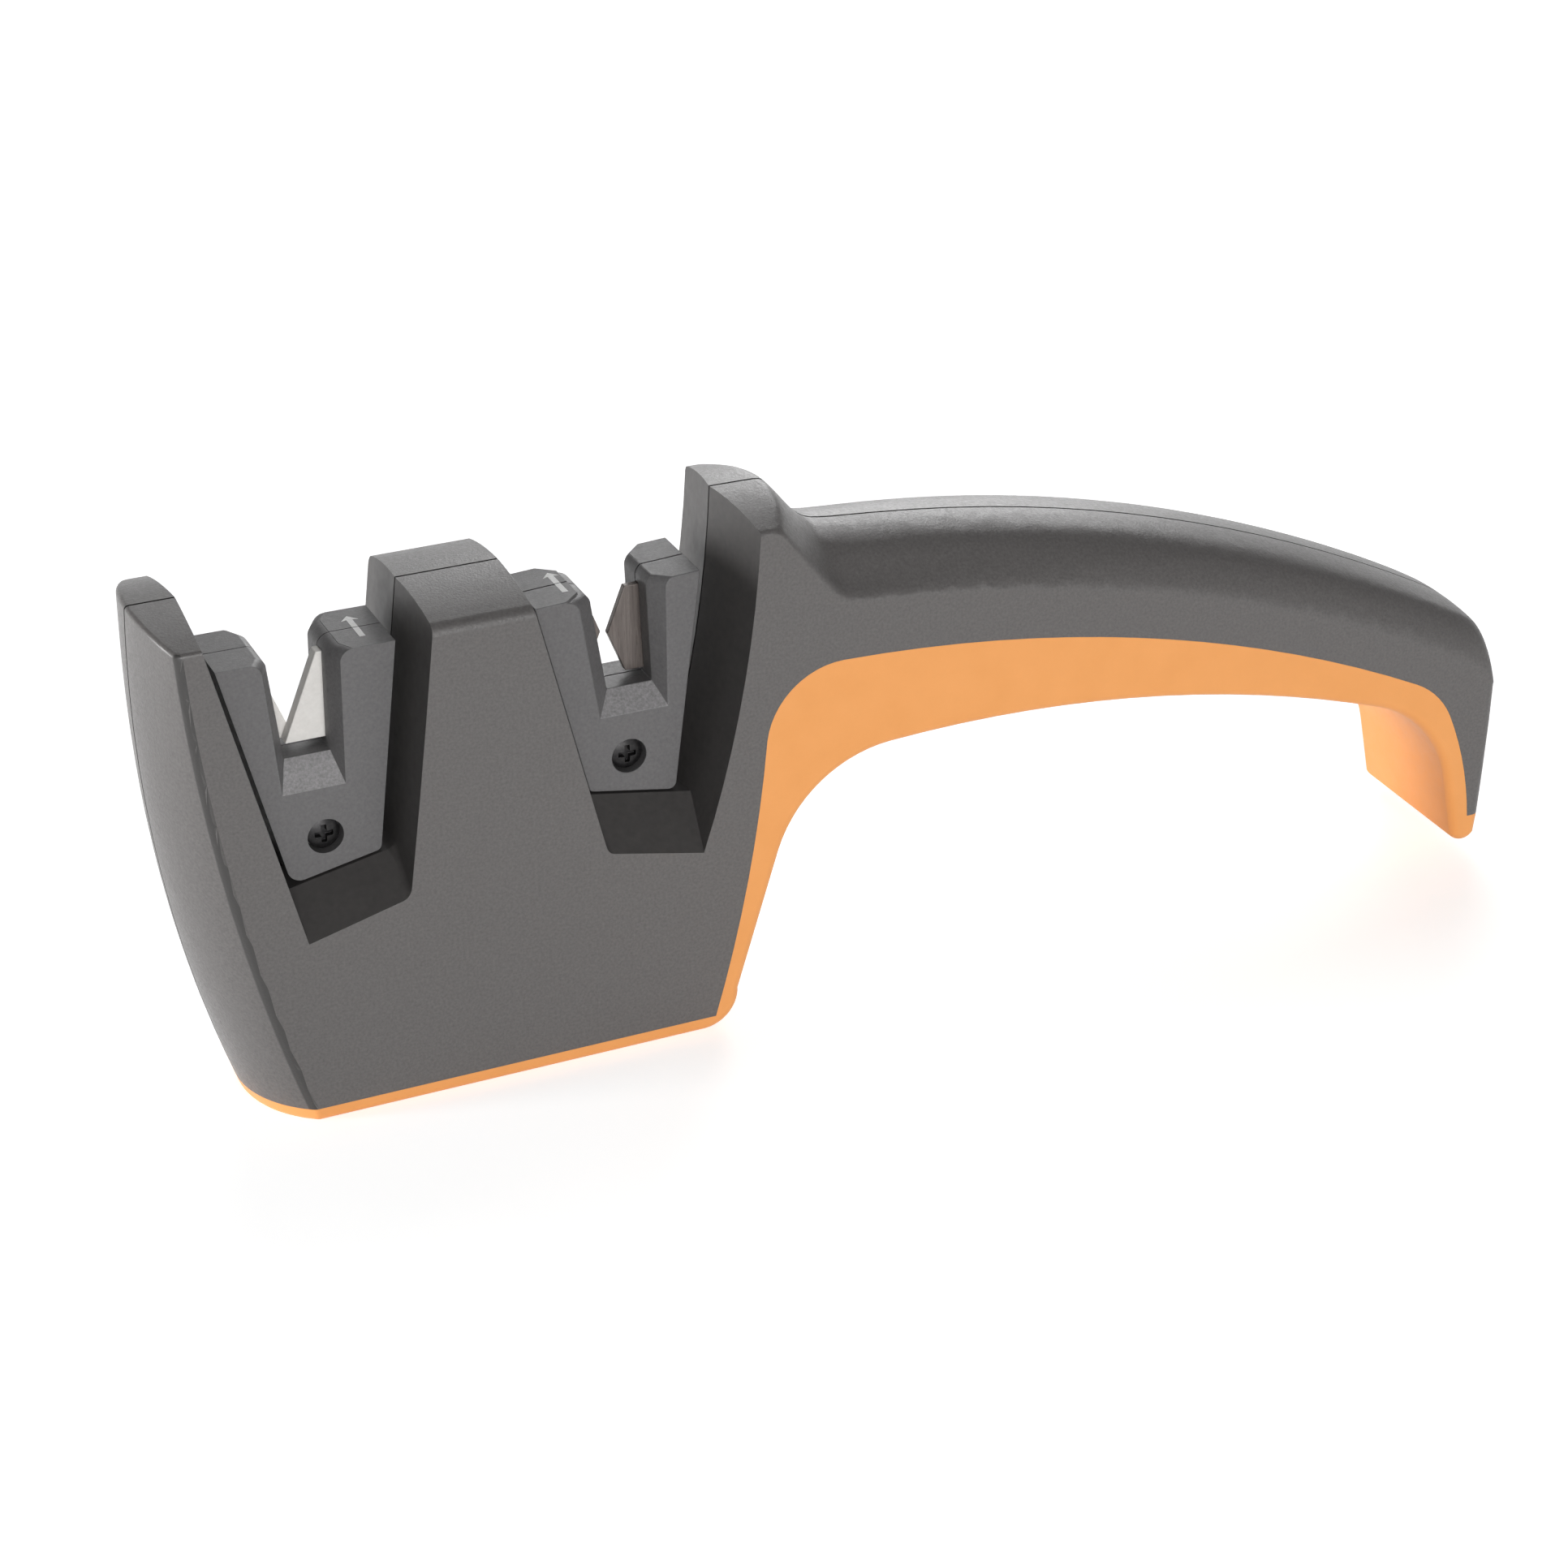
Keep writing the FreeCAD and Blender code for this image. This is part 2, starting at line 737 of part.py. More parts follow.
def make_base_cavity():
    """Hollow of the near half under the pockets and inside the centre block."""
    body = new_body("base_cavity")
    wall = size("wall")
    floor = size("sole_thickness") + wall
    thick = size("thick_wall")
    front_low = size("front_left_z") - thick
    rear_low = size("rear_right_z") - thick
    middle_low = size("front_right_z") - wall
    centre_high = size("centre_top") - size("crown_drop") - wall
    front_lean = size("front_right_lean") * (centre_high - middle_low)
    rear_lean = size("rear_left_lean") * (centre_high - middle_low)
    sketch = new_sketch(body, "base_cavity_outline", "XZ_Plane")
    draw_outline(sketch, [
        (size("front_left_x") + thick, floor),
        (size("heel_x") - wall, floor),
        (size("heel_x") + wall, rear_low),
        (size("rear_right_x") - wall, rear_low),
        (size("rear_left_x") - wall, middle_low - wall),
        (size("rear_left_x") - thick, middle_low),
        (size("rear_left_x") - thick - rear_lean, centre_high),
        (size("front_right_x") + thick + front_lean, centre_high),
        (size("front_right_x") + thick, middle_low),
        (size("front_right_x"), middle_low - wall),
        (size("front_left_x"), front_low),
        (size("front_left_x") - thick, front_low),
    ])
    add_pad(body, "base_cavity_block", sketch, HALF - wall)
    return body


def make_handle_cavity():
    """Hollow of the near half inside the handle, before its top is cut under the skin."""
    body = new_body("handle_cavity")
    wall = size("wall")
    thick = size("thick_wall")
    sketch = new_sketch(body, "handle_cavity_outline", "XZ_Plane")
    draw_outline(sketch, [
        (size("throat_x") - wall, size("throat_z") + wall),
        (size("bend_x") - wall, size("bend_z") + thick),
        (size("hook_x") - wall, size("hook_z") + 2 * thick),
        (size("end_x") - thick, size("hook_z") + thick),
        (size("end_x") - thick, ABOVE),
        (size("throat_x") - wall, ABOVE),
    ], {0: -(size("arch_radius") + wall)})
    add_pad(body, "handle_cavity_block", sketch, HALF - wall)
    return body


def lug_root(place):
    """How far below its screw a lug starts."""
    return size(place.split("_")[0] + "_lug_root")


def make_half_blank():
    """Near half of the housing without its bosses."""
    outer = make_half_outer()
    skinned = cut_away("half_skinned", outer, skin_tool("skin_above", 0.0))
    base_cavity = make_base_cavity()
    handle_cavity = make_handle_cavity()
    lowered = skin_tool("skin_inside", number("skin_wall"))
    handle_room = cut_away("handle_room", handle_cavity, lowered)
    notches = []
    half = size("lug_half_width") + size("lug_clearance")
    depth = size("lug_thickness") / 2 + size("lug_clearance")
    for place in LUG_SCREWS:
        below = lug_root(place)
        low = (size(place + "_x") - half, -depth, size(place + "_z") - below)
        notches.append(block("notch_" + place, low, (2 * half, depth, below)))
    return cut_away("half_blank", skinned, base_cavity, handle_room, *notches)


def make_shells():
    blank = make_half_blank()
    mirrored = doc.addObject("Part::Mirroring", "half_mirrored")
    mirrored.Source = blank
    mirrored.Normal = FreeCAD.Vector(0, 1, 0)
    doc.recompute()
    wall = size("wall")
    head_room = size("screw_head_height") + size("screw_sink")
    inner = HALF - wall
    near_bosses = []
    near_holes = []
    far_bosses = []
    far_holes = []
    for place in SCREW_PLACES:
        x = size(place + "_x")
        z = size(place + "_z")
        bite = size("screw_radius") + size("screw_bite")
        hole = size("screw_radius") + size("screw_clearance")
        recess = size("shell_screw_head") + size("head_clearance")
        reach = size("shell_screw_length") - (HALF - head_room) + size("screw_clearance")
        near_bosses.append(cross_cylinder("near_boss_" + place, x, -inner, z, size("boss_radius"), inner))
        near_holes.append(cross_cylinder("near_hole_" + place, x, -reach, z, bite, reach))
        far_bosses.append(cross_cylinder("far_boss_" + place, x, 0, z, size("boss_radius"), inner))
        far_holes.append(cross_cylinder("far_hole_" + place, x, 0, z, hole, HALF))
        far_holes.append(cross_cylinder("far_recess_" + place, x, HALF - head_room, z, recess, head_room))
    near = cut_away("near_shell", join("near_filled", blank, *near_bosses), *near_holes)
    for pocket, cassette in (("front", "ceramic"), ("rear", "carbide")):
        low, sides = foot_block(pocket, cassette, size("foot_clearance"))
        far_holes.append(block(pocket + "_foot_slot", low, sides))
    far = cut_away("far_shell", join("far_filled", mirrored, *far_bosses), *far_holes)
    return [near, far]


# Grip

def arch_centre(start, end, radius):
    """Centre, below the arch, of an arc from start to end."""
    along_x = end[0] - start[0]
    along_z = end[1] - start[1]
    chords = root(radius * radius / (along_x * along_x + along_z * along_z) - 0.25)
    return (start[0] + end[0]) / 2 + along_z * chords, (start[1] + end[1]) / 2 - along_x * chords


def part_way(start, end, share):
    return start[0] + (end[0] - start[0]) * share, start[1] + (end[1] - start[1]) * share


def tangent_point(centre, radius, place, side):
    """Where a line from place touches a circle: side is 1 for the point on the right, -1 on the left."""
    away_x = place[0] - centre[0]
    away_z = place[1] - centre[1]
    square = away_x * away_x + away_z * away_z
    near = radius * radius / square
    aside = side * radius * root(square - radius * radius) / square
    return centre[0] + away_x * near - away_z * aside, centre[1] + away_z * near + away_x * aside


def make_grip():
    body = new_body("soft_grip")
    corners, radii = border_corners()
    heel = (size("grip_heel_x"), size("grip_heel_z"))
    under = (size("grip_under_x"), size("grip_under_z"))
    bend = (size("grip_bend_x"), size("grip_bend_z"))
    tip = (size("grip_tip_x"), size("grip_tip_z"))
    throat_radius = size("grip_throat_radius")
    arch_radius = size("grip_arch_radius")
    bend_radius = size("grip_bend_radius")
    centre = arch_centre(under, bend, arch_radius)
    throat_centre = part_way(under, centre, throat_radius / arch_radius)
    bend_centre = part_way(bend, centre, bend_radius / arch_radius)
    outline = [
        (-size("front_reach") - PAST, Size.of(0)),
        (size("grip_sole_end"), Size.of(0)),
        heel,
        tangent_point(throat_centre, throat_radius, heel, -1),
        under,
        bend,
        tangent_point(bend_centre, bend_radius, tip, 1),
        tip,
        (tip[0] + size("grip_tip_width"), tip[1]),
        (size("end_x"), size("tip_z")),
    ]
    arcs = {
        1: size("grip_heel_radius"),
        3: -throat_radius,
        4: -arch_radius,
        5: -bend_radius,
        7: size("grip_tip_radius"),
    }
    first_border = len(outline)
    outline += corners[::-1]
    for index, radius in enumerate(radii[::-1]):
        arcs[first_border + index] = -radius
    outline.append((-size("front_reach") - PAST, size("sole_thickness")))
    sketch = new_sketch(body, "grip_outline", "XZ_Plane")
    draw_outline(sketch, outline, arcs)
    add_pad(body, "grip_block", sketch, size("body_width"), midplane=True)
    shape_front(body, "grip_front")
    outer = [(x.number, z.number) for x, z in outline[1:first_border]]

    def outer_edge(edge):
        """An edge of the outer contour on a side face, of the sole or of the front face."""
        ends = [(vertex.Point.x, vertex.Point.z) for vertex in edge.Vertexes]
        known = [any(math.dist(end, corner) < CLOSE for corner in outer) for end in ends]
        sole = all(abs(z) < CLOSE for _, z in ends) and any(x < 0 for x, _ in ends)
        return sole or front_edge(edge) or on_side(edge) and all(known)

    round_edges(body, "grip_edge_rounding", size("edge_round"), outer_edge)
    core_grip(body)
    for place in LUG_SCREWS:
        add_lug(body, place)
    return [body]


def core_grip(body):
    """Two channels under the handle, open towards the housing, with a web between them."""
    wall = size("grip_wall")
    web = size("lug_thickness") / 2
    low_z = size("grip_under_z") + wall
    end_z = size("grip_bend_z") + wall
    high_z = size("throat_z") + wall
    for side, sign in (("near", 1), ("far", -1)):
        sketch = new_sketch(body, side + "_core_outline", "XZ_Plane", (0, 0, sign * web))
        draw_outline(sketch, [
            (size("grip_under_x"), low_z),
            (size("grip_bend_x"), end_z),
            (size("grip_bend_x"), high_z),
            (size("grip_under_x"), high_z),
        ], {0: -(size("grip_arch_radius") + wall)})
        cut_pocket(body, side + "_core", sketch, HALF - wall - web, reverse=sign > 0)


def add_lug(body, place):
    """A lug that stands up from the grip and fits round a screw boss of the housing."""
    x = size(place + "_x")
    z = size(place + "_z")
    half = size("lug_half_width")
    sketch = new_sketch(body, "lug_outline_" + place, "XZ_Plane")
    low = z - lug_root(place)
    high = z + size("lug_shoulder")
    corners = [(x - half, low), (x + half, low), (x + half, high), (x - half, high)]
    draw_outline(sketch, corners, {2: size("lug_top_radius")})
    draw_circle(sketch, x, z, size("boss_radius") + size("lug_clearance"))
    add_pad(body, "lug_" + place, sketch, size("lug_thickness"), midplane=True)


# Cassettes

def cassette_corners(cassette, pocket):
    """Corners of a cassette in side view: bottom left, bottom right, top right, top left. They keep their
    gaps to the pocket as it is on the mid-plane."""
    left_z = size(pocket + "_seat_left_z")
    right_z = size(pocket + "_seat_right_z")
    left_lean = size(pocket + "_left_lean")
    right_lean = size(pocket + "_right_lean")
    seat_left, seat_right = seat_ends(pocket)
    slope = seat_slope(pocket)
    left_gap = size(cassette + "_left_gap")
    right_gap = size(cassette + "_right_gap")
    left_x = seat_left + left_gap
    right_x = seat_right - right_gap
    left_low = left_z + slope * left_gap + size("cassette_seat_gap")
    right_low = right_z - slope * right_gap + size("cassette_seat_gap")
    left_top = size(cassette + "_left_top")
    right_top = size(cassette + "_right_top")
    return [
        (left_x, left_low),
        (right_x, right_low),
        (right_x + right_lean * (right_top - right_low), right_top),
        (left_x - left_lean * (left_top - left_low), left_top),
    ]


def draw_slot(sketch, cassette, kind):
    """Outline of the knife slot, or of its wider mouth, run out above the posts. It rounds over into the
    tops of the posts."""
    radius = size("post_round")
    sill = size(cassette + ("_sill" if kind == "_slot" else "_mouth_sill"))
    left = size(cassette + kind + "_left_top")
    right = size(cassette + kind + "_right_top")
    left_top = size(cassette + "_left_top")
    right_top = size(cassette + "_right_top")
    above = right_top + PAST
    draw_outline(sketch, [
        (size(cassette + kind + "_left"), sill),
        (size(cassette + kind + "_right"), sill),
        (right, right_top - radius),
        (right + radius, right_top),
        (right + radius, above),
        (left - radius, above),
        (left - radius, left_top),
        (left, left_top - radius),
    ], {2: -radius, 6: -radius})


def stone_corners(grow):
    """Ceramic stone that comes out of the right post, grown by a fit. Its leaning edge is the first one."""
    knife = size("ceramic_knife_x")
    low = size("ceramic_sill") + size("stone_lift")
    seat = knife + size("stone_seat") + grow
    return [
        (knife + size("stone_top_reach") - grow, size("stone_top") + grow),
        (knife - size("stone_tip_reach") - grow, low - grow),
        (seat, low - grow),
        (seat, size("stone_top") + grow),
    ]


def blade_corners(grow):
    """Carbide blade that comes out of the right post, grown by a fit. It starts at its point."""
    knife = size("carbide_knife_x")
    tip_x = knife - size("blade_tip_reach") - grow
    tip_z = size("blade_tip_z")
    low = size("carbide_sill") + size("blade_lift")
    top = size("blade_top")
    seat = knife + size("blade_seat") + grow
    return [
        (tip_x, tip_z),
        (tip_x + size("blade_lower_lean") * (tip_z - low), low - grow),
        (seat, low - grow),
        (seat, top + grow),
        (tip_x + size("blade_upper_lean") * (top - tip_z), top + grow),
    ]


def turned(corners, cassette):
    """Corners turned half round about the upright axis in the plane of the knife, and set back from it."""
    kind, _ = ABRASIVES[cassette]
    across = 2 * size(cassette + "_knife_x") - size(kind + "_far_back")
    return [(across - x, z) for x, z in corners[::-1]]


ABRASIVES = {
    "ceramic": ("stone", stone_corners),
    "carbide": ("blade", blade_corners),
}


def make_abrasive(cassette, side, sign):
    """One stone or blade. sign is 1 on the near side and -1 on the far side."""
    kind, corners_of = ABRASIVES[cassette]
    name = "%s_%s_%s" % (cassette, side, kind)
    body = new_body(name)
    corners = corners_of(Size.of(0))
    if sign < 0:
        corners = turned(corners, cassette)
    sketch = new_sketch(body, name + "_outline", "XZ_Plane", (0, 0, sign * size("cassette_split")))
    draw_outline(sketch, corners)
    add_pad(body, name + "_block", sketch, size(kind + "_thickness"), reverse=sign < 0)
    return body


def make_cassette_half(cassette, pocket, side, sign):
    name = "%s_%s_half" % (cassette, side)
    body = new_body(name)
    half = size("cassette_half")
    split = size("cassette_split") / 2
    corners = cassette_corners(cassette, pocket)

    def sketch_at(label, distance):
        return new_sketch(body, "%s_%s" % (name, label), "XZ_Plane", (0, 0, sign * Size.of(distance)))

    outline = sketch_at("outline", split)
    draw_outline(outline, corners)
    add_pad(body, name + "_block", outline, half - split, reverse=sign < 0)
    for corner_name, (x, z) in zip(("left", "right"), corners):
        place = (x.number, z.number)

        def lower_corner(edge):
            return all(math.dist((p.x, p.z), place) < CLOSE for p in samples(edge))

        corner_round = size("%s_%s_round" % (cassette, corner_name))
        round_edges(body, "%s_%s_corner" % (name, corner_name), corner_round, lower_corner)
    slot = sketch_at("slot_outline", split)
    draw_slot(slot, cassette, "_slot")
    cut_pocket(body, name + "_slot", slot, half - split, reverse=sign > 0)
    inner = sketch_at("mouth_inner", half - size("chamfer_depth"))
    draw_slot(inner, cassette, "_slot")
    outer = sketch_at("mouth_outer", half)
    draw_slot(outer, cassette, "_mouth")
    doc.recompute()
    cut_loft(body, name + "_mouth", [inner, outer])
    kind, corners_of = ABRASIVES[cassette]
    recess_corners = corners_of(size("stone_fit"))
    if sign < 0:
        recess_corners = turned(recess_corners, cassette)
    recess = sketch_at(kind + "_recess_outline", split)
    draw_outline(recess, recess_corners)
    depth = size(kind + "_thickness") + size("cassette_split") + size("stone_fit") - split
    cut_pocket(body, "%s_%s_recess" % (name, kind), recess, depth, reverse=sign > 0)
    screw = (size(cassette + "_screw_x"), size(cassette + "_screw_z"))
    hole = sketch_at("screw_hole_outline", split)
    draw_circle(hole, *screw, size("screw_radius") + size("screw_clearance"))
    if sign > 0:
        cut_pocket(body, name + "_screw_hole", hole, half)
        head = sketch_at("head_recess_outline", half)
        draw_circle(head, *screw, size("cassette_screw_head") + size("head_clearance"))
        head_room = size("screw_head_height") + size("screw_sink")
        cut_pocket(body, name + "_head_recess", head, head_room, reverse=False)
    else:
        through_near = half - size("screw_head_height") - size("screw_sink")
        reach = size("cassette_screw_length") - through_near + size("screw_clearance")
        cut_pocket(body, name + "_screw_hole", hole, reach - split, reverse=False)
        add_foot(body, name, cassette, pocket)
    return body


def foot_span(cassette, pocket):
    """Middle of the foot and the height of the seat there."""
    seat = (size(pocket + "_seat_left_z") + size(pocket + "_seat_right_z")) / 2
    return size(cassette + "_screw_x"), seat


def add_foot(body, name, cassette, pocket):
    """A foot under the far half that drops into the housing's seat."""
    x, seat = foot_span(cassette, pocket)
    reach = size("foot_length") / 2
    sketch = new_sketch(body, name + "_foot_outline", "XZ_Plane", (0, 0, -size("foot_offset")))
    draw_outline(sketch, [
        (x - reach, seat - size("foot_depth")),
        (x + reach, seat - size("foot_depth")),
        (x + reach, seat + size("foot_depth")),
        (x - reach, seat + size("foot_depth")),
    ])
    add_pad(body, name + "_foot", sketch, size("foot_width"), reverse=True)


def foot_block(pocket, cassette, clearance):
    """Low corner and sides of the room for a foot, grown by clearance."""
    x, seat = foot_span(cassette, pocket)
    low = (x - size("foot_length") / 2 - clearance,
           size("foot_offset") - clearance,
           seat - size("foot_depth") - clearance)
    sides = (size("foot_length") + 2 * clearance, size("foot_width") + 2 * clearance, size("foot_depth") * 2)
    return low, sides


def make_cassette(cassette, pocket):
    items = []
    for side, sign in (("near", 1), ("far", -1)):
        items.append(make_cassette_half(cassette, pocket, side, sign))
        items.append(make_abrasive(cassette, side, sign))
    face = size("cassette_half") - size("screw_sink") - size("screw_head_height")
    place = (size(cassette + "_screw_x"), -face, size(cassette + "_screw_z"))
    items.append(make_screw(cassette + "_screw", "cassette_screw", place, 90))
    return items


# Screws

def make_screw(name, kind, place, turn):
    """A round-headed screw with a cross recess. The underside of its head sits at place, and turn about
    X points the head to the near side or the far side."""
    body = new_body(name)
    head = size(kind + "_head")
    length = size(kind + "_length")
    shank = size("screw_radius")
    height = size("screw_head_height")
    dome = size("screw_dome")
    profile = new_sketch(body, name + "_profile", "XZ_Plane")
    draw_outline(profile, [
        (Size.of(0), -length),
        (shank, size("screw_point") - length),
        (shank, Size.of(0)),
        (head, Size.of(0)),
        (head, height - dome),
        (Size.of(0), height),
    ], {4: (head * head + dome * dome) / (2 * dome)})
    turned_form = body.newObject("PartDesign::Revolution", name + "_form")
    turned_form.Profile = profile
    turned_form.ReferenceAxis = (profile, ["V_Axis"])
    turned_form.Angle = 360
    doc.recompute()
    arm = size("cross_length") / 2
    half = size("cross_width") / 2
    cross = new_sketch(body, name + "_cross_outline", "XY_Plane", (0, 0, height))
    draw_outline(cross, [
        (arm, -half), (arm, half), (half, half), (half, arm), (-half, arm), (-half, half),
        (-arm, half), (-arm, -half), (-half, -half), (-half, -arm), (half, -arm), (half, -half),
    ])
    cut_pocket(body, name + "_cross", cross, size("cross_depth"), reverse=False)
    place_object(body, *place, FreeCAD.Rotation(FreeCAD.Vector(1, 0, 0), turn))
    return body


def make_shell_screws():
    face = HALF - size("screw_sink") - size("screw_head_height")
    items = []
    for place in SCREW_PLACES:
        spot = (size(place + "_x"), face, size(place + "_z"))
        items.append(make_screw("shell_screw_" + place, "shell_screw", spot, -90))
    return items


parts = make_shells() + make_grip() + make_shell_screws()
parts += make_cassette("ceramic", "front") + make_cassette("carbide", "rear")
doc.recompute()
broken = [item.Name for item in doc.Objects if "Invalid" in item.State or "Error" in item.State]
if broken:
    raise RuntimeError("failed objects: " + ", ".join(broken))
for item in parts:
    if item.Shape.isNull() or not item.Shape.isValid():
        raise RuntimeError("bad shape: " + item.Label)
os.makedirs("parts", exist_ok=True)
for item in parts:
    item.Shape.exportStep(os.path.join("parts", item.Label + ".step"))
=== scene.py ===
import json
import math

import bmesh
import bpy
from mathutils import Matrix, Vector
from mathutils.bvhtree import BVHTree


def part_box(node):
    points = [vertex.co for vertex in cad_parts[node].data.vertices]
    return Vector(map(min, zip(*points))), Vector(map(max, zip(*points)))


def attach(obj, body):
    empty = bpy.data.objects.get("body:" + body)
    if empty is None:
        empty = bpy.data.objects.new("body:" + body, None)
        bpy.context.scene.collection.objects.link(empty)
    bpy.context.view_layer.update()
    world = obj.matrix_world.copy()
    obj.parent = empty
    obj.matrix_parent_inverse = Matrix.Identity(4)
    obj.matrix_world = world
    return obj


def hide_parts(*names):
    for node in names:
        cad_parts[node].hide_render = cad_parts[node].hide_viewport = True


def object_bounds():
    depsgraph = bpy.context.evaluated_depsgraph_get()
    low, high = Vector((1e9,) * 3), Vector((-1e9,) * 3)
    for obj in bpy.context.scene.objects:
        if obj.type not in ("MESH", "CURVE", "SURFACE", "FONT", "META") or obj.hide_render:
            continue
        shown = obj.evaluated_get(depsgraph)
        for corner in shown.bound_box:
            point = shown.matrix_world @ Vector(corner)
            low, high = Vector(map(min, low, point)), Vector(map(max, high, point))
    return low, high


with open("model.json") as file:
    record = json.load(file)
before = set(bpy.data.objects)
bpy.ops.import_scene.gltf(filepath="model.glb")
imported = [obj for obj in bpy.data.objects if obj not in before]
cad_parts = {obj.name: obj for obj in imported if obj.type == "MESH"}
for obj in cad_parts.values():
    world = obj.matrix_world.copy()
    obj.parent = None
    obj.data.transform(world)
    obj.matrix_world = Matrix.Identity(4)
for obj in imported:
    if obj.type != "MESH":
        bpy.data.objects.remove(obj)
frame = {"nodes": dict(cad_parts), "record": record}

# Pull through knife sharpener: a grey housing with an orange grip, and two cassettes that hold crossed
# ceramic stones and crossed carbide blades. Its halves meet at Y of 0.
cad_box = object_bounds()
MM = 0.001

# Points closer than this are one point, and facets flatter than this are one face
MERGE_REACH = 0.001 * MM
FLAT_ANGLE = math.radians(0.4)

# Edges sharper than this shade as edges, and are broken in so many steps over these widths
SHARP_ANGLE = math.radians(33)
EDGE_SEGMENTS = 2
HOUSING_EDGE = 0.45 * MM
CASSETTE_EDGE = 0.5 * MM
GRIP_EDGE = 0.25 * MM
STONE_EDGE = 0.12 * MM
SCREW_EDGE = 0.1 * MM

# At the parting plane the two halves meet in a fine groove, whose faces take painted shade
SEAM_REACH = 0.08 * MM
SEAM_EDGE = 0.2 * MM

# Places of a piece's materials: on most faces, on some chosen faces, and in the groove
PLAIN, CHOSEN, GROOVE = range(3)

# Strip of painted shade down the front corners: its run-in from the side, and how far its faces turn to the
# front
SHADE_STRIP_WIDTH = (0.75 * MM, 0.5 * MM)
SHADE_STRIP_FRONT = (-0.08, -0.16)

# Where the pockets lie in the housing, smoother and darkened with painted shade, as ranges of X and of Z
FRONT_POCKET = ((-47 * MM, -8 * MM), (28 * MM, 81 * MM))
REAR_POCKET = ((1 * MM, 40 * MM), (28 * MM, 84 * MM))

# How far a pocket's walls turn to the cassette, how far its floor turns up, and below which height
WALL_TURN = 0.7
FLOOR_TURN = 0.5
FLOOR_TOP = 44 * MM

# Sills of the knife slots: they lean to the side, below this height
SILL_LEAN = (0.3, 0.9)
SILL_TOP = 62 * MM

# Printed arrows on the posts: places along Y, half widths, gap at the parting plane, and height of the ink
ARROW_TAIL = -3.3 * MM
ARROW_TIP = 4.0 * MM
ARROW_NECK = 2.7 * MM
ARROW_BARB = 2.45 * MM
ARROW_HALF_SHAFT = 0.45 * MM
ARROW_HALF_HEAD = 1.3 * MM
ARROW_SEAM = 0.1 * MM
ARROW_THICKNESS = 0.02 * MM
ARROW_CLEARANCE = 0.005 * MM

# How far the arrows stand in from the ends of the cassettes that face each other
CERAMIC_ARROW_INSET = 3.8 * MM
CARBIDE_ARROW_INSET = 6.0 * MM

# Studio: the paper's size, grain and own glow, the room's light, and each lamp's place, width and power
PAPER_HALF = 6.0
PAPER_BEHIND = 2.4
PAPER_RISE = 1.0
PAPER_GRAIN = 0.5
PAPER_GLOW = 0.65
WORLD_LEVEL = 0.12
LAMPS = {
    "left_softbox": ((-1.45, 0.25, 0.17), 0.34, 20.0),
    "front_softbox": ((-0.20, -2.40, 0.30), 1.4, 53.0),
    "back_softbox": ((0.35, 0.85, 1.05), 1.0, 4.5),
    "rim_softbox": ((0.90, 1.40, 0.65), 0.8, 8.0),
}

# The camera of the photograph
CAMERA_PLACE = Vector((-159.5, -457.5, 296.3)) * MM
CAMERA_AZIMUTH = math.radians(24.5)
CAMERA_FALL = math.radians(27.7)
CAMERA_LENS = 83.85
CAMERA_SENSOR = 36


# Materials

